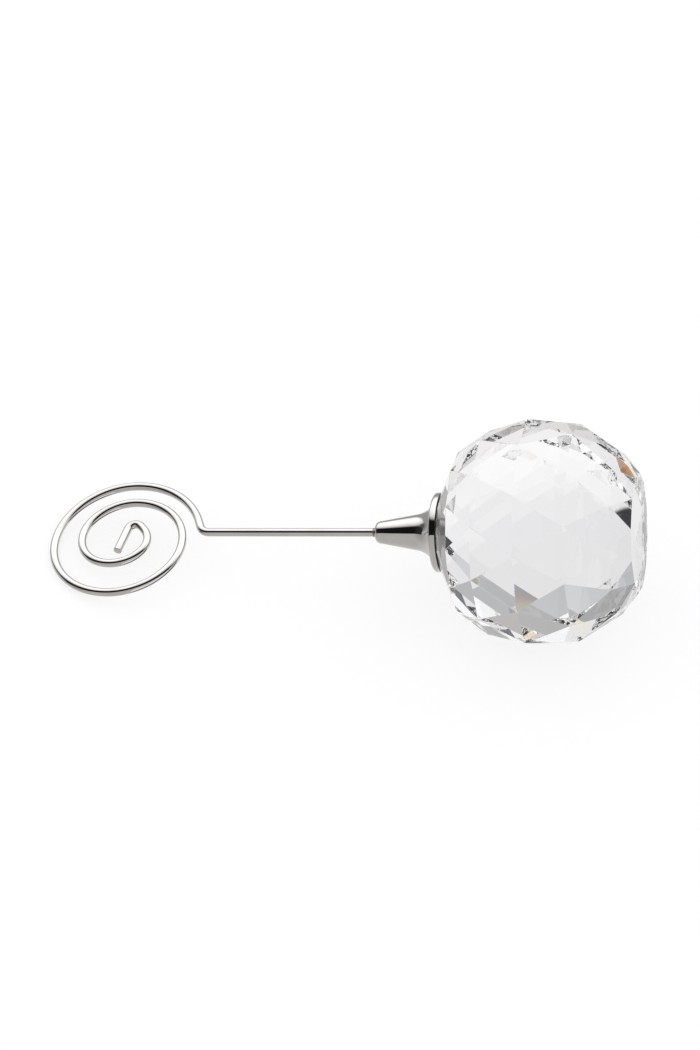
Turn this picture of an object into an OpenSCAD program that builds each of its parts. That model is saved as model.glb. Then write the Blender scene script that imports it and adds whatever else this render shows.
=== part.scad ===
// Place card holder: a faceted crystal ball that stands on a ground flat, with a metal
// ferrule bonded on top and one wire that rises from it and winds into a flat spiral.
// The card slips between two turns of the spiral. Millimetres, +Z up the stem, origin
// at the middle of the ball's base, and the spiral lies in the XZ plane.

/* [Crystal ball] */
// Diameter of the sphere that the corners of the facets lie on
ball_d = 40; // [30:1:60]
// Depth ground off the sphere for the flat that it stands on
base_cut = 2.9; // [1.5:0.1:5]
// Depth ground off the sphere for the flat that carries the ferrule
seat_cut = 2.9; // [1.5:0.1:3.5]
// Corner to corner width of the upper flat
seat_d = 14.6; // [14.2:0.1:16]
// Facets around each belt
facets_around = 12; // [8:1:18]

/* [Ferrule] */
// Diameter of the flange
flange_d = 14; // [11:0.1:14]
// Thickness of the flange at its rim
flange_t = 1.3; // [0.9:0.1:2]
// Radius of the rounding on the flange's upper edge
flange_round = 0.8; // [0.3:0.05:0.85]
// Radius of the rounding on the flange's lower edge
flange_under_round = 0.2; // [0.05:0.05:0.3]
// Rise of the flange's upper face from its rim to the foot of the flare
flange_rise = 0.25; // [0:0.05:0.5]
// Height from the foot of the flare to the mouth of the cone
cone_h = 10.55; // [9:0.05:14]
// Cone's diameter at the foot of the flare, without the flare
cone_foot_d = 7.5; // [6:0.1:9]
// Cone's diameter below its nose
cone_tip_d = 4; // [3.2:0.1:5]
// How far the flare reaches out from the cone at its foot
flare_reach = 1.3; // [0.4:0.1:1.8]
// Height over which the flare dies away into the cone
flare_h = 3; // [1.5:0.1:5]
// Height of the rounded nose
nose_h = 1.1; // [0.6:0.1:2]
// Width of the flat ring around the mouth of the socket
mouth_land = 0.25; // [0.1:0.05:0.4]

/* [Wire] */
// Diameter of the wire
wire_d = 1.5; // [1:0.1:1.8]
// Length of wire held in the ferrule
grip_len = 8; // [5:0.5:9]
// Straight stem from the ferrule's mouth to the kink
stem_len = 30.65; // [15:0.05:60]
// Centre line radius of the kink
kink_r = 2; // [1.2:0.1:3]
// Angle that the kink turns the wire aside
kink_turn = 66; // [50:1:80]
// Straight run between the kink and the first turn
lead_len = 1.7; // [0.5:0.1:4]
// Centre line radius that the radii of the spiral are shares of
turn_r = 13; // [11:0.1:18]
// Sweep of each arc of the spiral
arc_turn = 60; // [56:1:63]
// Centre line radius of the hook at the inner end
hook_r = 1.3; // [1:0.1:2]
// Angle that the hook turns the wire back
hook_turn = 120; // [100:1:130]
// Straight end after the hook
tail_len = 5.4; // [3:0.1:7]
// Bevel around each cut end of the wire
cut_bevel = 0.15; // [0.05:0.05:0.3]

/* [Bonds] */
// Thickness of the clear adhesive between the ball and the flange
film_t = 0.15; // [0.05:0.05:0.3]
// How far the adhesive stays back from the flange's edge
film_inset = 0.4; // [0.3:0.1:1]
// Thickness of the solder around the wire in its socket
solder_t = 0.15; // [0.1:0.05:0.25]
// Height of the solder's collar above the mouth
collar_h = 0.5; // [0.2:0.1:1]

/* [Hidden] */

// Latitudes of the belts of facet corners, from the lowest up, in degrees
belt_latitudes = [-44, -20, 4.5, 27.5, 44.5];
// Angle of the base flat's first corner from +X
facet_turn = 21;
facet_step = 360 / facets_around;

ball_r = ball_d / 2;
ball_z = ball_r - base_cut;
seat_z = ball_d - base_cut - seat_cut;
base_r = sqrt(ball_r * ball_r - ball_z * ball_z);

flange_r = flange_d / 2;
foot_z = flange_t + flange_rise;
ferrule_h = foot_z + cone_h;
flange_z = seat_z + film_t;
mouth_z = flange_z + ferrule_h;
socket_r = wire_d / 2 + solder_t;
mouth_r = socket_r + mouth_land;
// Points on each rounded stretch of the ferrule's outline
round_points = 10;
flare_points = 16;

// Each arc's radius as a share of turn_r, from the outer turn inward
first_arc_share = 1.1;
arc_radius_shares = [1, 0.98, 0.96, 0.9, 0.79, 0.81, 0.68, 0.53, 0.5, 0.47, 0.32];
last_arc_share = 0.5;
// The last arc's sweep before the hook, in degrees
last_turn = 21;

// Sides of the swept wire, and the turn between its rings in degrees
wire_sides = 16;
ring_turn = 7.5;
// Fragments around the socket and around the ferrule
socket_fn = 32;
ferrule_fn = 96;
// How far a cut runs past the face that it opens
overrun = 0.5;

// The faceted ball. Every belt is turned half a step from the one below it, which
// makes each band between two belts a row of triangles.

function belt_points(r, z, turn) =
    [for (k = [0 : facets_around - 1])
        [r * cos(turn + k * facet_step), r * sin(turn + k * facet_step), z]];

belts = concat(
    [[base_r, 0]],
    [for (a = belt_latitudes) [ball_r * cos(a), ball_z + ball_r * sin(a)]],
    [[seat_d / 2, seat_z]]);

// The number of corner k on belt i in the list of all corners
function corner(i, k) = i * facets_around + k % facets_around;

module crystal_ball() {
    last = len(belts) - 1;
    corners = [for (i = [0 : last])
        each belt_points(belts[i][0], belts[i][1], facet_turn + i * facet_step / 2)];
    base_face = [for (k = [0 : facets_around - 1]) corner(0, k)];
    seat_face = [for (k = [facets_around - 1 : -1 : 0]) corner(last, k)];
    rising = [for (i = [0 : last - 1], k = [0 : facets_around - 1])
        [corner(i, k), corner(i + 1, k), corner(i, k + 1)]];
    falling = [for (i = [0 : last - 1], k = [0 : facets_around - 1])
        [corner(i + 1, k), corner(i + 1, k + 1), corner(i, k + 1)]];
    color("aliceblue", 0.4)
        polyhedron(points = corners, faces = concat([base_face], [seat_face], rising, falling));
}

// The film of adhesive that joins the flange to the ball's upper flat.
module ball_bond() {
    color("lightcyan", 0.6)
        translate([0, 0, seat_z])
            cylinder(h = film_t, r = flange_r - film_inset, $fn = ferrule_fn);
}

// The ferrule's outline, from the middle of its underside out and up to its mouth.
// A point on a quarter ellipse is given by its angle from the outward direction.
function quarter(r, z, across, up, from, to) =
    [for (k = [0 : round_points])
        let (a = from + (to - from) * k / round_points)
        [r + across * cos(a), z + up * sin(a)]];

function cone_r(h) =
    cone_foot_d / 2 + (cone_tip_d - cone_foot_d) / 2 * h / (cone_h - nose_h);

function flare_r(h) = cone_r(h) + flare_reach * pow(1 - h / flare_h, 2);

ferrule_outline = concat(
    [[0, 0]],
    quarter(flange_r - flange_under_round, flange_under_round,
        flange_under_round, flange_under_round, -90, 0),
    quarter(flange_r - flange_round, flange_t - flange_round,
        flange_round, flange_round, 0, 90),
    [for (k = [0 : flare_points])
        let (h = flare_h * k / flare_points)
        [flare_r(h), foot_z + h]],
    quarter(mouth_r, ferrule_h - nose_h, cone_tip_d / 2 - mouth_r, nose_h, 0, 90),
    [[0, ferrule_h]]);

module ferrule() {
    color("silver")
        translate([0, 0, flange_z])
            difference() {
                rotate_extrude($fn = ferrule_fn) polygon(ferrule_outline);
                translate([0, 0, ferrule_h - grip_len])
                    cylinder(h = grip_len + overrun, r = socket_r, $fn = socket_fn);
            }
}

// The solder: a sleeve that fills the socket around the wire, and a hollow-sided
// collar that climbs the wire above the mouth.
module stem_bond() {
    collar_r = mouth_r - mouth_land / 2;
    lip_r = wire_d / 2 + solder_t / 4;
    collar = concat(
        [[0, 0]],
        [for (k = [0 : round_points])
            let (a = 90 * k / round_points)
            [collar_r - (collar_r - lip_r) * sin(a), collar_h * (1 - cos(a))]],
        [[0, collar_h]]);
    color("gainsboro")
        translate([0, 0, mouth_z])
            difference() {
                union() {
                    translate([0, 0, -grip_len])
                        cylinder(h = grip_len, r = socket_r, $fn = socket_fn);
                    rotate_extrude($fn = socket_fn) polygon(collar);
                }
                translate([0, 0, -grip_len - overrun])
                    cylinder(h = grip_len + collar_h + 2 * overrun, d = wire_d, $fn = socket_fn);
            }
}

// The wire's centre line is a chain of straights and tangent arcs in the XZ plane.
// A run is [length, 0] for a straight and [radius, sweep] for an arc, where a
// positive sweep turns to the left of the way along the wire, seen from -Y.
runs = concat(
    [[grip_len + stem_len - cut_bevel, 0]],
    [[kink_r, -kink_turn]],
    [[lead_len, 0]],
    [[first_arc_share * turn_r, kink_turn]],
    [for (s = arc_radius_shares) [s * turn_r, arc_turn]],
    [[last_arc_share * turn_r, last_turn]],
    [[hook_r, hook_turn]],
    [[tail_len - cut_bevel, 0]]);

function ahead(heading) = [cos(heading), sin(heading)];
function aside(heading) = [-sin(heading), cos(heading)];

// The point reached after part of a run, from its start and heading
function along(start, heading, run, part) =
    run[1] == 0
        ? start + run[0] * part * ahead(heading)
        : start + sign(run[1]) * run[0] * (aside(heading) - aside(heading + part * run[1]));

function run_heading(i) = i == 0 ? 90 : run_heading(i - 1) + runs[i - 1][1];
function run_start(i) =
    i == 0
        ? [0, mouth_z - grip_len + cut_bevel]
        : along(run_start(i - 1), run_heading(i - 1), runs[i - 1], 1);

headings = [for (i = [0 : len(runs) - 1]) run_heading(i)];
starts = [for (i = [0 : len(runs) - 1]) run_start(i)];
function run_steps(run) = run[1] == 0 ? 1 : ceil(abs(run[1]) / ring_turn);

// The stations along the wire, each [place on the centre line, heading]
stations = concat(
    [[starts[0], headings[0]]],
    [for (i = [0 : len(runs) - 1])
        let (run = runs[i], steps = run_steps(run))
        for (k = [1 : steps])
            [along(starts[i], headings[i], run, k / steps), headings[i] + run[1] * k / steps]]);

function ring(place, heading, r) =
    [for (j = [0 : wire_sides - 1])
        let (t = 360 * j / wire_sides, out = place + r * cos(t) * aside(heading))
        [out[0], r * sin(t), out[1]]];

// One unbroken tube swept along the stations, with a bevel at each cut end.
module card_wire() {
    wire_r = wire_d / 2;
    first = stations[0];
    final = stations[len(stations) - 1];
    rings = concat(
        [ring(first[0] - cut_bevel * ahead(first[1]), first[1], wire_r - cut_bevel)],
        [for (s = stations) ring(s[0], s[1], wire_r)],
        [ring(final[0] + cut_bevel * ahead(final[1]), final[1], wire_r - cut_bevel)]);
    last = len(rings) - 1;
    sides = [for (i = [0 : last - 1], j = [0 : wire_sides - 1])
        let (a = i * wire_sides, b = a + wire_sides, n = (j + 1) % wire_sides)
        each [[a + n, b + n, b + j], [a + n, b + j, a + j]]];
    start_cap = [for (j = [wire_sides - 1 : -1 : 0]) j];
    end_cap = [for (j = [0 : wire_sides - 1]) last * wire_sides + j];
    color("silver")
        polyhedron(points = [for (r = rings) each r],
            faces = concat([start_cap], sides, [end_cap]));
}

// The least gap between two stretches of the wire that are not next to each other,
// measured on points of the centre line past the stem.
gap_points = 8;
// Along the wire, points nearer than this many wire diameters are neighbours
gap_skip = 6;
function run_length(run) = run[1] == 0 ? run[0] : run[0] * abs(run[1]) * PI / 180;
function length_before(i) = i == 0 ? 0 : length_before(i - 1) + run_length(runs[i - 1]);
samples = [for (i = [1 : len(runs) - 1], k = [0 : gap_points])
    [along(starts[i], headings[i], runs[i], k / gap_points),
        length_before(i) + run_length(runs[i]) * k / gap_points]];
turn_gaps = [for (a = samples, b = samples)
    if (b[1] - a[1] > gap_skip * wire_d) norm(a[0] - b[0]) - wire_d];
echo(least_gap_between_turns = min(turn_gaps));
echo(overall_height = max([for (s = samples) s[0][1]]) + wire_d / 2);
echo(wire_length = length_before(len(runs)) + 2 * cut_bevel);

crystal_ball();
ball_bond();
ferrule();
stem_bond();
card_wire();
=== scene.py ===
"""Looks for the place card holder: a faceted crystal ball, a bright turned ferrule and a
drawn wire wound into a flat spiral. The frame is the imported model's, in metres, with +Z
up the stem and the spiral in the XZ plane. Sizes in capitals are in millimetres."""

import math

import bmesh
import bpy
from mathutils import Matrix, Vector


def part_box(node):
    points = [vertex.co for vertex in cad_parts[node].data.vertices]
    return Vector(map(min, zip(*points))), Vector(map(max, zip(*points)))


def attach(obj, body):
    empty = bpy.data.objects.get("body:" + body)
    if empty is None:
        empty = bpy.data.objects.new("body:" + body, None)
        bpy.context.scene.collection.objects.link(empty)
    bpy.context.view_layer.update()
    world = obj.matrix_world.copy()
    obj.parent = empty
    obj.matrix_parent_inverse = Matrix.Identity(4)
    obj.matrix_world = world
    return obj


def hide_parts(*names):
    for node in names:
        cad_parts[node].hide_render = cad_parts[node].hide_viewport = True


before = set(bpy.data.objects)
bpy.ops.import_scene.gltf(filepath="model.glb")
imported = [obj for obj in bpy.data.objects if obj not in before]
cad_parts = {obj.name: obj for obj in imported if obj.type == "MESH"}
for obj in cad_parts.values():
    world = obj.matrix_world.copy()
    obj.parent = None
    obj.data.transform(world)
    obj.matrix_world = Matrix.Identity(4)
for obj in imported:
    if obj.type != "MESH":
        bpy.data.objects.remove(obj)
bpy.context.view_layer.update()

MM = 0.001
X, Y, Z = 0, 1, 2
scene = bpy.context.scene
scene.view_settings.view_transform = "Standard"

# Light is turned back inside cut glass many times, and the facets where it is cut off
# too soon would come out black.
scene.cycles.max_bounces = 24
scene.cycles.glossy_bounces = 16
scene.cycles.transmission_bounces = 24


def lowest(node, axis):
    """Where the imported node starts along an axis, to the nearest micrometre."""
    return round(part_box(node)[0][axis] / MM, 3)


def highest(node, axis):
    """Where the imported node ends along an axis, to the nearest micrometre."""
    return round(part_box(node)[1][axis] / MM, 3)


# The ball. Latitudes and turns are in degrees.
BALL_R = 20.0
BASE_CUT = 2.9
BALL_Z = BALL_R - BASE_CUT
BASE_R = math.sqrt(BALL_R ** 2 - BALL_Z ** 2)
SEAT_Z = highest("crystal_ball", Z)
SEAT_R = 7.3
FACETS = 12
LATITUDES = (-44, -20, 4.5, 27.5, 44.5)
FACET_TURN = 21.0
FACET_BEVEL = 0.035

# The adhesive, a hair clear of the faces above and below it
FILM_R = highest("ball_bond", X)
FILM_T = highest("ball_bond", Z) - SEAT_Z
FILM_GAP = 0.01
FILM_BULGE = 0.06

# The ferrule, from the flange up. Heights are told from its underside.
FLANGE_Z = lowest("ferrule", Z)
FLANGE_R = highest("ferrule", X)
FLANGE_UNDER_ROUND = 0.15
FLANGE_ROUND = 0.55
FLANGE_SHOULDER = 1.42
FLANGE_FACE = (5.6, 1.5)
MOUTH_Z = highest("ferrule", Z)
FERRULE_H = MOUTH_Z - FLANGE_Z
FOOT_H = 1.55
CONE_FOOT_R = 3.75
CONE_TIP_R = 2.0
FLARE_REACH = 1.3
FLARE_H = 3.0
NOSE_H = 1.1

# The wire and its solder. Turns are in degrees, and the arcs' radii are shares of TURN_R.
WIRE_R = highest("card_wire", Y)
WIRE_Z = lowest("card_wire", Z)
GRIP = MOUTH_Z - WIRE_Z
CUT_BEVEL = 0.15
STEM = 30.65
KINK_R = 2.0
KINK_TURN = 66
LEAD = 1.7
TURN_R = 13.0
ARC_TURN = 60
FIRST_ARC_SHARE = 1.1
ARC_SHARES = (1, 0.98, 0.96, 0.9, 0.79, 0.81, 0.68, 0.53, 0.5, 0.47, 0.32)
LAST_ARC_SHARE = 0.5
LAST_TURN = 21
HOOK_R = 1.3
HOOK_TURN = 120
TAIL = 5.4
SOLDER_T = 0.15
SOCKET_R = WIRE_R + SOLDER_T
MOUTH_R = SOCKET_R + 0.25
COLLAR_R = highest("stem_bond", X)
COLLAR_H = highest("stem_bond", Z) - MOUTH_Z
COLLAR_LIP_R = WIRE_R + SOLDER_T / 4

# How finely each form is made: sides around, points on a rounding, and the steps along
# the wire in millimetres and degrees
FERRULE_SIDES = 144
FLARE_POINTS = 40
COLLAR_SIDES = 64
COLLAR_POINTS = 12
FILM_SIDES = 96
WIRE_SIDES = 28
STRAIGHT_STEP = 1.5
ARC_STEP = 3
WIRE_END_POINTS = 6

# The photograph's camera. It looks a little up the stem from below the base, with the
# holder lying on its side, so the picture's right is down the stem. The eye is told from
# the ball's centre, and the focal length in pixels of the photograph.
TILT = math.radians(14)
ROLL = math.radians(42)
RIGHT = Vector((math.sin(ROLL) * math.sin(TILT), math.cos(ROLL) * math.sin(TILT), -math.cos(TILT)))
UP = Vector((math.cos(ROLL), -math.sin(ROLL), 0))
AHEAD = Vector((math.sin(ROLL) * math.cos(TILT), math.cos(ROLL) * math.cos(TILT), math.sin(TILT)))
EYE_RIGHT = -33.07
EYE_UP = 1.3
EYE_AHEAD = -467.5
FOCAL_PIXELS = 2700
PICTURE_HEIGHT = 1050
SENSOR = 36
BALL_CENTRE = Vector((0, 0, BALL_Z)) * MM


def make_camera():
    camera = bpy.data.objects.new("photo_camera", bpy.data.cameras.new("photo_camera"))
    scene.collection.objects.link(camera)
    scene.camera = camera
    camera.data.sensor_width = SENSOR
    camera.data.lens = SENSOR * FOCAL_PIXELS / PICTURE_HEIGHT
    camera.data.clip_start = 0.01
    camera.data.clip_end = 20
    eye = BALL_CENTRE + (EYE_RIGHT * RIGHT + EYE_UP * UP + EYE_AHEAD * AHEAD) * MM
    turned = Matrix((RIGHT, UP, -AHEAD)).transposed().to_4x4()
    camera.matrix_world = Matrix.Translation(eye) @ turned


make_camera()


# Mesh helpers

def new_object(name, points, faces, sharp_angle=None):
    """A closed mesh from points in millimetres. Without a sharp angle it is flat shaded."""
    mesh = bpy.data.meshes.new(name)
    mesh.from_pydata([Vector(p) * MM for p in points], [], faces)
    bm = bmesh.new()
    bm.from_mesh(mesh)
    bmesh.ops.recalc_face_normals(bm, faces=bm.faces)
    bm.to_mesh(mesh)
    bm.free()
    if sharp_angle is None:
        mesh.shade_flat()
    else:
        mesh.shade_smooth()
        mesh.set_sharp_from_angle(angle=math.radians(sharp_angle))
    thing = bpy.data.objects.new(name, mesh)
    scene.collection.objects.link(thing)
    return thing


def add_uv(thing, places):
    """Gives each face its UV map, told as {vertex: (u, v)}."""
    layer = thing.data.uv_layers.new(name="around_and_along")
    for face, place in zip(thing.data.polygons, places):
        for loop_index in face.loop_indices:
            vertex = thing.data.loops[loop_index].vertex_index
            layer.data[loop_index].uv = place[vertex]


def quarter(r, z, across, up, start, stop, count):
    """Points on a quarter ellipse, by angle from the outward direction, in degrees."""
    points = []
    for k in range(count + 1):
        a = math.radians(start + (stop - start) * k / count)
        points.append((r + across * math.cos(a), z + up * math.sin(a)))
    return points


def raised(outline, z):
    return [(r, height + z) for r, height in outline]


def lathe(name, outline, sides, sharp_angle):
    """Turns a closed outline of (radius, height) about Z. Points on the axis stay single.
    The UV map runs around in u and along the outline, in millimetres, in v."""
    points = []
    rows = []
    for r, z in outline:
        if r == 0:
            rows.append([len(points)] * sides)
            points.append((0, 0, z))
            continue
        rows.append(list(range(len(points), len(points) + sides)))
        for k in range(sides):
            a = 2 * math.pi * k / sides
            points.append((r * math.cos(a), r * math.sin(a), z))
    reach = [0.0]
    for (r0, z0), (r1, z1) in zip(outline, outline[1:] + outline[:1]):
        reach.append(reach[-1] + math.hypot(r1 - r0, z1 - z0))
    faces = []
    places = []
    for i in range(len(outline)):
        row, next_row = rows[i], rows[(i + 1) % len(outline)]
        for k in range(sides):
            n = (k + 1) % sides
            loop = [(row[k], k, reach[i]), (row[n], k + 1, reach[i])]
            loop += [(next_row[n], k + 1, reach[i + 1]), (next_row[k], k, reach[i + 1])]
            kept = []
            for corner in loop:
                if corner[0] not in [c[0] for c in kept]:
                    kept.append(corner)
            if len(kept) >= 3:
                faces.append([c[0] for c in kept])
                places.append({c[0]: (c[1] / sides, c[2]) for c in kept})
    thing = new_object(name, points, faces, sharp_angle)
    add_uv(thing, places)
    return thing


# The crystal: belts of corners on a sphere, each turned half a step from the one
# below, which makes every band a row of triangles. The edges get a hair of a bevel.

def crystal():
    belts = [(BASE_R, 0.0)]
    for a in LATITUDES:
        a = math.radians(a)
        belts.append((BALL_R * math.cos(a), BALL_Z + BALL_R * math.sin(a)))
    belts.append((SEAT_R, SEAT_Z))
    points = []
    for i, (r, z) in enumerate(belts):
        for k in range(FACETS):
            a = math.radians(FACET_TURN + i * 180 / FACETS + k * 360 / FACETS)
            points.append((r * math.cos(a), r * math.sin(a), z))

    def corner(i, k):
        return i * FACETS + k % FACETS

    last = len(belts) - 1
    faces = [[corner(0, k) for k in range(FACETS)], [corner(last, k) for k in range(FACETS)]]
    for i in range(last):
        for k in range(FACETS):
            faces.append([corner(i, k), corner(i, k + 1), corner(i + 1, k)])
            faces.append([corner(i + 1, k), corner(i, k + 1), corner(i + 1, k + 1)])
    thing = new_object("cut_crystal", points, faces)
    bm = bmesh.new()
    bm.from_mesh(thing.data)
    bmesh.ops.bevel(bm, geom=list(bm.edges), offset=FACET_BEVEL * MM, segments=1, affect="EDGES")
    bm.to_mesh(thing.data)
    bm.free()
    thing.data.shade_flat()
    return thing


# The ferrule and what joins it to the ball and the wire

def cone_r(h):
    """The cone's radius at a height above the foot of the flare."""
    cone_h = FERRULE_H - NOSE_H - FOOT_H
    return CONE_FOOT_R - (CONE_FOOT_R - CONE_TIP_R) * h / cone_h


def ferrule():
    under = FLANGE_UNDER_ROUND
    shoulder_z = FLANGE_SHOULDER - FLANGE_ROUND
    outline = [(0, 0)]
    outline += quarter(FLANGE_R - under, under, under, under, -90, 0, 6)
    outline += quarter(FLANGE_R - FLANGE_ROUND, shoulder_z, FLANGE_ROUND, FLANGE_ROUND, 0, 90, 14)
    outline += [FLANGE_FACE]
    for k in range(FLARE_POINTS + 1):
        h = FLARE_H * k / FLARE_POINTS
        outline.append((cone_r(h) + FLARE_REACH * (1 - h / FLARE_H) ** 2, FOOT_H + h))
    outline += quarter(MOUTH_R, FERRULE_H - NOSE_H, CONE_TIP_R - MOUTH_R, NOSE_H, 0, 90, 14)
    outline += [(SOCKET_R, FERRULE_H), (SOCKET_R, FERRULE_H - GRIP), (0, FERRULE_H - GRIP)]
    return lathe("turned_ferrule", raised(outline, FLANGE_Z), FERRULE_SIDES, 28)


def solder_collar():
    """A sleeve that fills the socket, and a hollow-sided collar that climbs the wire."""
    outline = [(WIRE_R, -GRIP), (SOCKET_R, -GRIP), (SOCKET_R, 0), (COLLAR_R, 0)]
    for k in range(1, COLLAR_POINTS + 1):
        a = math.pi / 2 * k / COLLAR_POINTS
        r = COLLAR_R - (COLLAR_R - COLLAR_LIP_R) * math.sin(a)
        outline.append((r, COLLAR_H * (1 - math.cos(a))))
    outline += [(WIRE_R, COLLAR_H)]
    return lathe("solder_collar", raised(outline, MOUTH_Z), COLLAR_SIDES, 40)


def adhesive_film():
    middle = FILM_T / 2
    outline = [(0, FILM_GAP)]
    outline += quarter(FILM_R - FILM_BULGE, middle, FILM_BULGE, middle - FILM_GAP, -90, 90, 8)
    outline += [(0, FILM_T - FILM_GAP)]
    return lathe("adhesive_film", raised(outline, SEAT_Z), FILM_SIDES, 40)


# The wire: straights and tangent arcs in the XZ plane. A run is (length, 0) or
# (radius, sweep), and a positive sweep turns to the left seen from the front.

def wire_stations():
    """Places along the wire's middle as (x, z, heading in degrees, length so far)."""
    runs = [(GRIP + STEM - CUT_BEVEL, 0), (KINK_R, -KINK_TURN), (LEAD, 0)]
    runs += [(FIRST_ARC_SHARE * TURN_R, KINK_TURN)]
    runs += [(share * TURN_R, ARC_TURN) for share in ARC_SHARES]
    runs += [(LAST_ARC_SHARE * TURN_R, LAST_TURN), (HOOK_R, HOOK_TURN), (TAIL - CUT_BEVEL, 0)]
    x, z, heading, length = 0.0, WIRE_Z + CUT_BEVEL, 90.0, 0.0
    stations = [(x, z, heading, length)]
    for size, sweep in runs:
        a = math.radians(heading)
        if sweep == 0:
            steps = max(1, round(size / STRAIGHT_STEP))
            for k in range(1, steps + 1):
                part = size * k / steps
                place = (x + part * math.cos(a), z + part * math.sin(a))
                stations.append((*place, heading, length + part))
            length += size
        else:
            steps = math.ceil(abs(sweep) / ARC_STEP)
            way = math.copysign(size, sweep)
            for k in range(1, steps + 1):
                b = math.radians(heading + sweep * k / steps)
                place = (x + way * (math.sin(b) - math.sin(a)), z - way * (math.cos(b) - math.cos(a)))
                part = size * abs(b - a)
                stations.append((*place, heading + sweep * k / steps, length + part))
            length += size * math.radians(abs(sweep))
        x, z, heading = stations[-1][:3]
    return stations


def wire_rings():
    """The wire's rings as (x, z, heading in radians, length so far, radius): a bevel at
    the held end and a rounding at the free end."""
    stations = wire_stations()
    x, z, heading, length = stations[0]
    a = math.radians(heading)
    start = (x - CUT_BEVEL * math.cos(a), z - CUT_BEVEL * math.sin(a))
    rings = [(*start, a, length - CUT_BEVEL, WIRE_R - CUT_BEVEL)]
    for x, z, heading, length in stations:
        rings.append((x, z, math.radians(heading), length, WIRE_R))
    x, z, heading, length = stations[-1]
    a = math.radians(heading)
    for k in range(1, WIRE_END_POINTS + 1):
        b = math.pi / 2 * k / WIRE_END_POINTS
        out = CUT_BEVEL * math.sin(b)
        r = WIRE_R - CUT_BEVEL * (1 - math.cos(b))
        rings.append((x + out * math.cos(a), z + out * math.sin(a), a, length + out, r))
    return rings


def wire():
    """One tube swept through the rings. On its ends u goes round a small circle."""
    sides = WIRE_SIDES
    rings = wire_rings()
    points = []
    for x, z, a, length, r in rings:
        for j in range(sides):
            t = 2 * math.pi * j / sides
            across = r * math.cos(t)
            points.append((x - across * math.sin(a), r * math.sin(t), z + across * math.cos(a)))
    end_u = [0.5 + 0.1 * math.cos(2 * math.pi * j / sides) for j in range(sides)]
    faces = [list(range(sides))]
    places = [{j: (end_u[j], 0.0) for j in range(sides)}]
    for i in range(len(rings) - 1):
        base, top = i * sides, (i + 1) * sides
        v, next_v = rings[i][3], rings[i + 1][3]
        for j in range(sides):
            n = (j + 1) % sides
            u, next_u = j / sides, (j + 1) / sides
            faces.append([base + j, base + n, top + n, top + j])
            places.append({base + j: (u, v), base + n: (next_u, v),
                           top + n: (next_u, next_v), top + j: (u, next_v)})
    end = (len(rings) - 1) * sides
    faces.append([end + j for j in range(sides)])
    places.append({end + j: (end_u[j], rings[-1][3]) for j in range(sides)})
    thing = new_object("drawn_wire", points, faces, 40)
    add_uv(thing, places)
    return thing


# Materials

class Nodes:
    """A small helper that adds nodes to a material or a world and links them."""

    def __init__(self, tree):
        self.tree = tree
        tree.nodes.clear()

    def add(self, kind, inputs=None, **settings):
        node = self.tree.nodes.new(kind)
        for key, value in settings.items():
            setattr(node, key, value)
        for key, value in (inputs or {}).items():
            socket = node.inputs[key]
            if isinstance(value, bpy.types.NodeSocket):
                self.tree.links.new(value, socket)
            else:
                socket.default_value = value
        return node

    def math(self, operation, a, b=0.0):
        return self.add("ShaderNodeMath", {0: a, 1: b}, operation=operation).outputs[0]

    def span(self, value, low, high, to_low, to_high, smooth=False):
        """Carries low to high over to to_low to to_high, held at both ends."""
        kind = "SMOOTHSTEP" if smooth else "LINEAR"
        inputs = {"Value": value, 1: low, 2: high, 3: to_low, 4: to_high}
        return self.add("ShaderNodeMapRange", inputs, interpolation_type=kind).outputs[0]

    def rise(self, value, low, high, smooth=False):
        return self.span(value, low, high, 0.0, 1.0, smooth)

    def fall(self, value, low, high, smooth=False):
        return self.span(value, low, high, 1.0, 0.0, smooth)

    def product(self, first, *others):
        total = first
        for other in others:
            total = self.math("MULTIPLY", total, other)
        return total

    def mix(self, factor, a, b):
        return self.add("ShaderNodeMix", {0: factor, 6: a, 7: b}, data_type="RGBA").outputs[2]

    def ramp(self, value, stops):
        """The colour of the stops at a value. Each stop is (value, colour)."""
        low, high = stops[0][0], stops[-1][0]
        node = self.add("ShaderNodeValToRGB", {"Fac": self.rise(value, low, high)})
        ramp = node.color_ramp
        while len(ramp.elements) < len(stops):
            ramp.elements.new(0.5)
        for element, (place, colour) in zip(ramp.elements, stops):
            element.position = (place - low) / (high - low)
            element.color = (*colour, 1)
        return node.outputs["Color"]

    def noise(self, place, scale, detail):
        inputs = {"Vector": place, "Scale": scale, "Detail": detail}
        return self.add("ShaderNodeTexNoise", inputs).outputs["Fac"]

    def cells(self, place, scale):
        inputs = {"Vector": place, "Scale": scale}
        return self.add("ShaderNodeTexVoronoi", inputs).outputs["Distance"]

    def bump(self, height, strength, distance):
        inputs = {"Height": height, "Strength": strength, "Distance": distance}
        return self.add("ShaderNodeBump", inputs).outputs[0]

    def surface(self, inputs):
        shader = self.add("ShaderNodeBsdfPrincipled", inputs)
        self.add("ShaderNodeOutputMaterial", {"Surface": shader.outputs[0]})


def material(name):
    made = bpy.data.materials.new(name)
    made.use_nodes = True
    return made, Nodes(made.node_tree)


def crystal_material():
    """Clear cut crystal with a breath of haze in places."""
    made, n = material("cut_crystal")
    place = n.add("ShaderNodeTexCoord").outputs["Object"]
    cloud = n.noise(place, 260.0, 3.0)
    marks = n.noise(place, 5200.0, 2.0)
    haze = n.product(n.rise(marks, 0.62, 0.8), n.rise(cloud, 0.45, 0.7))
    n.surface({
        "Base Color": (0.995, 0.99, 0.997, 1), "Roughness": n.span(haze, 0.0, 1.0, 0.0, 0.05),
        "IOR": 1.54, "Transmission Weight": 1.0, "Normal": n.bump(cloud, 0.02, 0.00002)})
    return made


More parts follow.
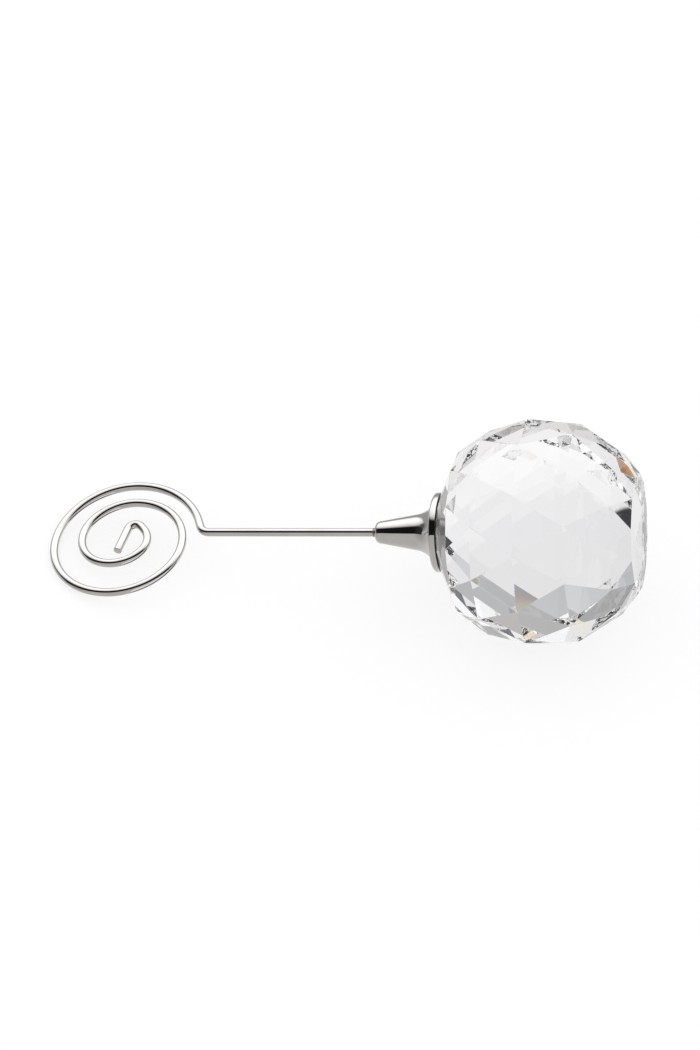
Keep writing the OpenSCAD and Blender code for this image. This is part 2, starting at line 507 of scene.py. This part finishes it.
# Soft edges of the band of painted shade at the flange's lower edge, in millimetres along the ferrule's
# outline from its axis
PAINTED_SHADE_START = (6.5, 6.6)
PAINTED_SHADE_END = (7.09, 7.15)


def turned_chrome():
    """Polished chrome with the fine rings of turning, and a fine dark band of painted shade, also
    rougher, where the flange's lower edge meets the adhesive."""
    made, n = material("turned_chrome")
    uv = n.add("ShaderNodeTexCoord").outputs["UV"]
    place = n.add("ShaderNodeTexCoord").outputs["Object"]
    rings = n.add("ShaderNodeMapping", {"Vector": uv, "Scale": (3.0, 14.0, 1.0)}).outputs[0]
    lines = n.noise(rings, 1.0, 4.0)
    cloud = n.noise(place, 420.0, 4.0)
    reach = n.add("ShaderNodeSeparateXYZ", {0: uv}).outputs[1]
    reach = n.math("ADD", reach, n.math("MULTIPLY", n.math("SUBTRACT", cloud, 0.5), 0.12))
    # Painted shade: a thin dark, rougher band along the flange's lower edge, where the shadow line
    # between flange and adhesive falls.
    painted_shade = n.product(n.rise(reach, *PAINTED_SHADE_START), n.fall(reach, *PAINTED_SHADE_END))
    tone = n.ramp(cloud, [(0.3, (0.6, 0.588, 0.572)), (0.7, (0.65, 0.64, 0.63))])
    tone = n.mix(painted_shade, tone, (0.05, 0.045, 0.04, 1))
    roughness = n.math("ADD", n.span(lines, 0.3, 0.7, 0.015, 0.035), n.span(cloud, 0.45, 0.8, 0.0, 0.02))
    roughness = n.math("ADD", roughness, n.math("MULTIPLY", painted_shade, 0.35))
    n.surface({
        "Base Color": tone, "Metallic": 1.0, "Roughness": roughness,
        "Normal": n.bump(lines, 0.03, 0.00003)})
    return made


def drawn_chrome():
    """Plated wire with the faint lengthwise lines of drawing."""
    made, n = material("drawn_chrome")
    uv = n.add("ShaderNodeTexCoord").outputs["UV"]
    place = n.add("ShaderNodeTexCoord").outputs["Object"]
    stretched = n.add("ShaderNodeMapping", {"Vector": uv, "Scale": (34.0, 0.5, 1.0)}).outputs[0]
    lines = n.noise(stretched, 1.0, 3.0)
    cloud = n.noise(place, 300.0, 4.0)
    tone = n.ramp(cloud, [(0.3, (0.6, 0.585, 0.57)), (0.7, (0.66, 0.65, 0.64))])
    roughness = n.math("ADD", n.span(lines, 0.3, 0.7, 0.015, 0.04), n.span(cloud, 0.45, 0.8, 0.0, 0.02))
    n.surface({
        "Base Color": tone, "Metallic": 1.0, "Roughness": roughness,
        "Normal": n.bump(lines, 0.03, 0.00002)})
    return made


def solder_material():
    """Dull grainy tin, browned in places by the flux."""
    made, n = material("solder")
    place = n.add("ShaderNodeTexCoord").outputs["Object"]
    grain = n.cells(place, 4200.0)
    cloud = n.noise(place, 1500.0, 4.0)
    tone = n.ramp(cloud, [(0.3, (0.2, 0.165, 0.125)), (0.7, (0.4, 0.37, 0.33))])
    n.surface({
        "Base Color": tone, "Metallic": 1.0, "Roughness": n.span(cloud, 0.3, 0.7, 0.22, 0.4),
        "Normal": n.bump(grain, 0.25, 0.00004)})
    return made


def adhesive_material():
    """Clear cured adhesive, a little cloudy and uneven."""
    made, n = material("clear_adhesive")
    place = n.add("ShaderNodeTexCoord").outputs["Object"]
    spots = n.cells(place, 900.0)
    cloud = n.noise(place, 500.0, 3.0)
    tone = n.ramp(cloud, [(0.3, (0.84, 0.87, 0.88)), (0.7, (0.92, 0.93, 0.94))])
    n.surface({
        "Base Color": tone, "Roughness": n.span(cloud, 0.3, 0.7, 0.08, 0.2), "IOR": 1.5,
        "Transmission Weight": 0.6, "Normal": n.bump(spots, 0.1, 0.00003)})
    return made


# The object

def dress(thing, node, look):
    thing.data.materials.clear()
    thing.data.materials.append(look)
    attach(thing, "root")
    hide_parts(node)
    return thing


pieces = [
    dress(crystal(), "crystal_ball", crystal_material()),
    dress(adhesive_film(), "ball_bond", adhesive_material()),
    dress(ferrule(), "ferrule", turned_chrome()),
    dress(solder_collar(), "stem_bond", solder_material()),
    dress(wire(), "card_wire", drawn_chrome()),
]

# The studio. Directions are told in the photograph's own frame: near is the part towards
# the camera, up the part towards the picture's top, and aside the part towards its right.
# Turn goes in degrees from the camera (0) over the top (90) to the far side (180) and,
# below, to -180. The tones are told by turn. The table top fills the far side and what is
# below. A grey wall stands behind it from 157 to 126, then come the soft boxes, and the
# room round the camera is dark. Soft edges are (start, end).

WALL = [
    (118, (0.55, 0.55, 0.55)),
    (126, (0.45, 0.45, 0.45)),
    (150, (0.44, 0.44, 0.44)),
    (157, (0.48, 0.48, 0.48)),
    (161, (0.82, 0.82, 0.82)),
    (180, (0.86, 0.86, 0.86)),
]
METAL = [
    (-180, (0.86, 0.86, 0.86)),
    (-165, (0.84, 0.835, 0.83)),
    (-150, (0.8, 0.79, 0.775)),
    (-132, (0.72, 0.71, 0.69)),
    (-100, (0.65, 0.64, 0.62)),
    (-50, (0.63, 0.62, 0.6)),
    (-12, (0.59, 0.58, 0.56)),
] + WALL
# The same towards the picture's right, where pale boards and dark flags stand around
# the table. Only the spiral mirrors them in the photograph's own view.
METAL_RIGHT = [
    (-180, (0.86, 0.86, 0.86)),
    (-164, (0.9, 0.9, 0.895)),
    (-155, (1.1, 1.1, 1.09)),
    (-150, (0.9, 0.9, 0.89)),
    (-144, (0.2, 0.197, 0.193)),
    (-137, (0.14, 0.138, 0.135)),
    (-110, (0.14, 0.138, 0.135)),
    (-101, (0.22, 0.217, 0.213)),
    (-93, (0.75, 0.745, 0.735)),
    (-84, (1.1, 1.1, 1.09)),
    (-54, (1.15, 1.15, 1.14)),
    (-42, (0.95, 0.945, 0.935)),
    (-27, (0.66, 0.65, 0.64)),
    (-12, (0.59, 0.58, 0.56)),
] + WALL
BOARDS_FROM_ASIDE = (0.14, 0.24)

# The soft box over the black room, by the distance from its lower edge inwards. The
# edge climbs towards the camera and towards the left.
SOFT_BOX = [
    (-0.2, (0.01, 0.01, 0.011)),
    (-0.1, (0.02, 0.02, 0.02)),
    (-0.04, (0.2, 0.195, 0.19)),
    (0.0, (0.38, 0.375, 0.365)),
    (0.06, (0.65, 0.645, 0.63)),
    (0.15, (0.93, 0.925, 0.91)),
    (0.3, (1.2, 1.195, 1.18)),
    (0.5, (1.5, 1.495, 1.48)),
    (0.65, (1.65, 1.65, 1.64)),
    (1.0, (1.65, 1.65, 1.65)),
]
EDGE_CLIMB_NEAR = 0.64
EDGE_CLIMB_LEFT = 0.45
FRONT_FROM_TURN = (-90, -80)
FRONT_TO_TURN = (114, 130)
FRONT_FROM_UP = (-0.145, -0.12)

# Both ends of the room, and a strip high at the left, are duller.
LEFT_END = (-0.98, -0.75)
LEFT_END_TONE = (0.1, 0.098, 0.095, 1)
LEFT_END_SHARE = 0.3
STRIP_TURN = ((80, 92), (128, 144))
STRIP_ASIDE = ((-0.98, -0.95), (-0.9, -0.85))
STRIP_TONE = (0.13, 0.125, 0.12, 1)
RIGHT_END = (0.92, 0.97)
RIGHT_END_TONE = (0.42, 0.41, 0.4, 1)
RIGHT_END_SHARE = 0.7

# Cut glass shows the room in small pieces, so its tones are told in more steps, and have
# the warm and cool fringes of split light at the edges.
GLASS_BELOW = [
    (-180, (0.87, 0.862, 0.872)),
    (-172, (0.89, 0.882, 0.89)),
    (-160, (0.94, 0.932, 0.938)),
    (-140, (0.95, 0.942, 0.94)),
    (-126, (0.86, 0.85, 0.84)),
    (-118, (0.9, 0.89, 0.88)),
    (-110, (0.62, 0.61, 0.59)),
    (-102, (0.6, 0.59, 0.575)),
    (-95, (0.72, 0.71, 0.69)),
    (-84, (0.98, 0.98, 0.975)),
    (-76, (0.95, 0.95, 0.95)),
    (-67, (0.5, 0.5, 0.505)),
    (-59, (0.46, 0.46, 0.465)),
    (-49, (0.88, 0.885, 0.89)),
    (-40, (0.96, 0.96, 0.955)),
    (-31, (0.48, 0.475, 0.46)),
    (-22, (0.44, 0.43, 0.41)),
    (-12, (0.7, 0.69, 0.66)),
    (0, (0.5, 0.495, 0.48)),
]
GLASS_ABOVE = [
    (0, (0.5, 0.495, 0.48)),
    (30, (0.56, 0.56, 0.56)),
    (38, (1.0, 1.0, 1.0)),
    (52, (1.12, 1.12, 1.12)),
    (61, (0.72, 0.725, 0.74)),
    (68, (0.66, 0.665, 0.68)),
    (77, (1.1, 1.1, 1.1)),
    (86, (1.05, 1.05, 1.05)),
    (93, (0.74, 0.735, 0.72)),
    (99, (0.7, 0.695, 0.68)),
    (107, (1.12, 1.12, 1.12)),
    (124, (1.08, 1.09, 1.12)),
    (130, (1.04, 1.02, 0.9)),
    (133.5, (0.95, 0.84, 0.58)),
    (135.5, (0.62, 0.5, 0.4)),
    (137, (0.47, 0.465, 0.46)),
    (147, (0.45, 0.455, 0.46)),
    (153, (0.49, 0.5, 0.515)),
    (156, (0.62, 0.63, 0.645)),
    (159, (0.79, 0.79, 0.795)),
    (180, (0.87, 0.862, 0.872)),
]
ABOVE_FROM_TURN = (-0.5, 0.5)
# How much brighter the glass's room grows from the middle to the right end
GLASS_SLOPE = 0.08
GLASS_RIGHT_END = (0.88, 0.95)
GLASS_RIGHT_TONE = (0.5, 0.49, 0.5, 1)
FAR_FROM_TURN = (146, 154)
FAR_RIGHT = (0.76, 0.79)
FAR_RIGHT_TONE = (0.2, 0.195, 0.19, 1)

# The dark room as glass shows it, by the distance from the soft box's edge: navy there
GLASS_ROOM = [
    (-0.8, (0.05, 0.05, 0.05)),
    (-0.2, (0.05, 0.058, 0.075)),
    (-0.08, (0.1, 0.14, 0.21)),
    (0.02, (0.42, 0.47, 0.52)),
]
ROOM_FROM_UP = (-0.16, -0.1)
ROOM_TO_EDGE = (-0.1, 0.02)
ROOM_FROM_NEAR = (-0.05, 0.05)

# Small patches that stand out in single facets, as (turn, aside, size in degrees)
BLACK_SPOT = (-174, -0.54, 0.5)
BLACK = (0.012, 0.012, 0.016, 1)
NEAR_BLACK_SPOT = (165.2, 0.6922, 1.0)
NEAR_BLACK = (0.03, 0.04, 0.045, 1)
INK_SPOT = (34.22, 0.1353, 0.8)
INK = (0.045, 0.055, 0.08, 1)
OLIVE_SPOT = (143.2, 0.5661, 0.8)
OLIVE = (0.43, 0.43, 0.37, 1)
# An amber patch at the right, told by aside
AMBER_SPOT = (-142.5, -0.6945, 1.2)
AMBER = [
    (-0.6985, (0.36, 0.2, 0.12)),
    (-0.6955, (0.4, 0.15, 0.03)),
    (-0.6925, (0.5, 0.24, 0.04)),
    (-0.6904, (0.6, 0.4, 0.15)),
]
# The split light of one facet of the lower row, by turn: slate, then brown, then olive
SPLIT_SPOT = (153.3, 0.237, 1.2)
SPLIT = [
    (152.9, (0.34, 0.36, 0.41)),
    (153.12, (0.37, 0.36, 0.385)),
    (153.25, (0.42, 0.36, 0.34)),
    (153.45, (0.5, 0.47, 0.4)),
    (153.7, (0.49, 0.485, 0.41)),
]
# In these small patches a unit of aside counts as so many degrees.
ASIDE_DEGREES = 60.0


def spot(n, turn, aside, at_turn, at_aside, size):
    """1 within a small round patch of the studio, and 0 outside."""
    across = n.math("MULTIPLY", n.math("SUBTRACT", aside, at_aside), ASIDE_DEGREES)
    around = n.math("SUBTRACT", turn, at_turn)
    away = n.add("ShaderNodeCombineXYZ", {0: around, 1: across}).outputs[0]
    reach = n.add("ShaderNodeVectorMath", {0: away}, operation="LENGTH").outputs["Value"]
    return n.fall(reach, size * 0.75, size, True)


def metal_view(n, turn, aside, up, edge):
    """What metal mirrors: the table and the wall, and in front of them the soft box over
    the black room."""
    boards = n.rise(aside, *BOARDS_FROM_ASIDE, True)
    seen = n.mix(boards, n.ramp(turn, METAL), n.ramp(turn, METAL_RIGHT))
    front = n.product(
        n.rise(turn, *FRONT_FROM_TURN), n.fall(turn, *FRONT_TO_TURN), n.rise(up, *FRONT_FROM_UP))
    seen = n.mix(front, seen, n.ramp(edge, SOFT_BOX))
    seen = n.mix(n.span(aside, *LEFT_END, LEFT_END_SHARE, 0.0), seen, LEFT_END_TONE)
    strip = n.product(
        n.rise(turn, *STRIP_TURN[0]), n.fall(turn, *STRIP_TURN[1]),
        n.rise(aside, *STRIP_ASIDE[0]), n.fall(aside, *STRIP_ASIDE[1]))
    seen = n.mix(strip, seen, STRIP_TONE)
    return n.mix(n.span(aside, *RIGHT_END, 0.0, RIGHT_END_SHARE, True), seen, RIGHT_END_TONE)


def glass_view(n, turn, aside, up, near, edge):
    """What glass lets through: the same room, a dim far right end, and the patches that
    stand out in single facets."""
    above = n.rise(turn, *ABOVE_FROM_TURN)
    seen = n.mix(above, n.ramp(turn, GLASS_BELOW), n.ramp(turn, GLASS_ABOVE))
    slope = n.math("ADD", n.math("MULTIPLY", aside, GLASS_SLOPE), 1.0)
    seen = n.add("ShaderNodeVectorMath", {0: seen, "Scale": slope}, operation="SCALE").outputs[0]
    seen = n.mix(n.rise(aside, *GLASS_RIGHT_END, True), seen, GLASS_RIGHT_TONE)
    far = n.rise(n.math("ABSOLUTE", turn), *FAR_FROM_TURN)
    seen = n.mix(n.product(far, n.rise(aside, *FAR_RIGHT)), seen, FAR_RIGHT_TONE)
    dark = n.product(
        n.rise(up, *ROOM_FROM_UP, True), n.fall(edge, *ROOM_TO_EDGE, True),
        n.rise(near, *ROOM_FROM_NEAR))
    seen = n.mix(dark, seen, n.ramp(edge, GLASS_ROOM))
    seen = n.mix(spot(n, turn, aside, *BLACK_SPOT), seen, BLACK)
    seen = n.mix(spot(n, turn, aside, *AMBER_SPOT), seen, n.ramp(aside, AMBER))
    seen = n.mix(spot(n, turn, aside, *NEAR_BLACK_SPOT), seen, NEAR_BLACK)
    seen = n.mix(spot(n, turn, aside, *INK_SPOT), seen, INK)
    seen = n.mix(spot(n, turn, aside, *OLIVE_SPOT), seen, OLIVE)
    return n.mix(spot(n, turn, aside, *SPLIT_SPOT), seen, n.ramp(turn, SPLIT))


def make_world():
    """Mirrored rays see the metal's studio and rays through glass the glass's. All other
    rays see white."""
    world = bpy.data.worlds.new("studio")
    scene.world = world
    world.use_nodes = True
    n = Nodes(world.node_tree)
    way = n.add("ShaderNodeTexCoord").outputs["Generated"]

    def part(axis):
        inputs = {0: way, 1: tuple(axis)}
        return n.add("ShaderNodeVectorMath", inputs, operation="DOT_PRODUCT").outputs["Value"]

    near, up, aside = part(-AHEAD), part(UP), part(RIGHT)
    turn = n.math("MULTIPLY", n.math("ARCTAN2", up, near), 180 / math.pi)
    left = n.math("MAXIMUM", n.math("MULTIPLY", aside, -1.0), 0.0)
    edge = n.math("SUBTRACT", up, n.math("MULTIPLY", near, EDGE_CLIMB_NEAR))
    edge = n.math("SUBTRACT", edge, n.math("MULTIPLY", left, EDGE_CLIMB_LEFT))
    path = n.add("ShaderNodeLightPath").outputs
    metal = metal_view(n, turn, aside, up, edge)
    glass = glass_view(n, turn, aside, up, near, edge)
    seen = n.mix(path["Is Glossy Ray"], (1, 1, 1, 1), metal)
    seen = n.mix(path["Is Transmission Ray"], seen, glass)
    back = n.add("ShaderNodeBackground", {"Color": seen, "Strength": 1.0})
    n.add("ShaderNodeOutputWorld", {"Surface": back.outputs[0]})


make_world()

# Table top and floor. Both are seen by the camera alone and only from their upper side,
# stay white where nothing shades them, and keep the object's soft shadow. The table top
# is the one on which the holder lies in the photograph. Their reach and gap are in metres.
SHADE = 0.3
FULL_WHITE = 1.018
STAGE_REACH = 3.0
STAGE_GAP = 0.00002
TABLE_TILT = math.radians(42)
TABLE_LEAN = 0.057


def stage_plane(name, centre, normal):
    side = normal.orthogonal().normalized()
    other = normal.cross(side)
    corners = []
    for a, b in ((-1, -1), (1, -1), (1, 1), (-1, 1)):
        corners.append(centre + STAGE_REACH * (a * side + b * other))
    mesh = bpy.data.meshes.new(name)
    mesh.from_pydata(corners, [], [(0, 1, 2, 3)])
    thing = bpy.data.objects.new(name, mesh)
    scene.collection.objects.link(thing)
    thing.visible_glossy = False
    thing.visible_transmission = False
    thing.visible_diffuse = False
    thing.visible_shadow = False
    made, n = material(name)
    white = n.add("ShaderNodeBsdfDiffuse", {"Color": (SHADE, SHADE, SHADE, 1)})
    glow = n.add("ShaderNodeEmission", {"Color": (1, 1, 1, 1), "Strength": FULL_WHITE - SHADE})
    lit = n.add("ShaderNodeAddShader", {0: white.outputs[0], 1: glow.outputs[0]})
    clear = n.add("ShaderNodeBsdfTransparent")
    behind = n.add("ShaderNodeNewGeometry").outputs["Backfacing"]
    shown = n.add("ShaderNodeMixShader", {0: behind, 1: lit.outputs[0], 2: clear.outputs[0]})
    n.add("ShaderNodeOutputMaterial", {"Surface": shown.outputs[0]})
    mesh.materials.append(made)


def make_stage():
    up = math.cos(TABLE_TILT) * UP - math.sin(TABLE_TILT) * AHEAD + TABLE_LEAN * RIGHT
    up.normalize()
    foot = min(up.dot(v.co) for piece in pieces for v in piece.data.vertices)
    centre = BALL_CENTRE + (foot - STAGE_GAP - up.dot(BALL_CENTRE)) * up
    stage_plane("table_top", centre, up)
    stage_plane("floor", Vector((0, 0, -STAGE_GAP)), Vector((0, 0, 1)))


make_stage()
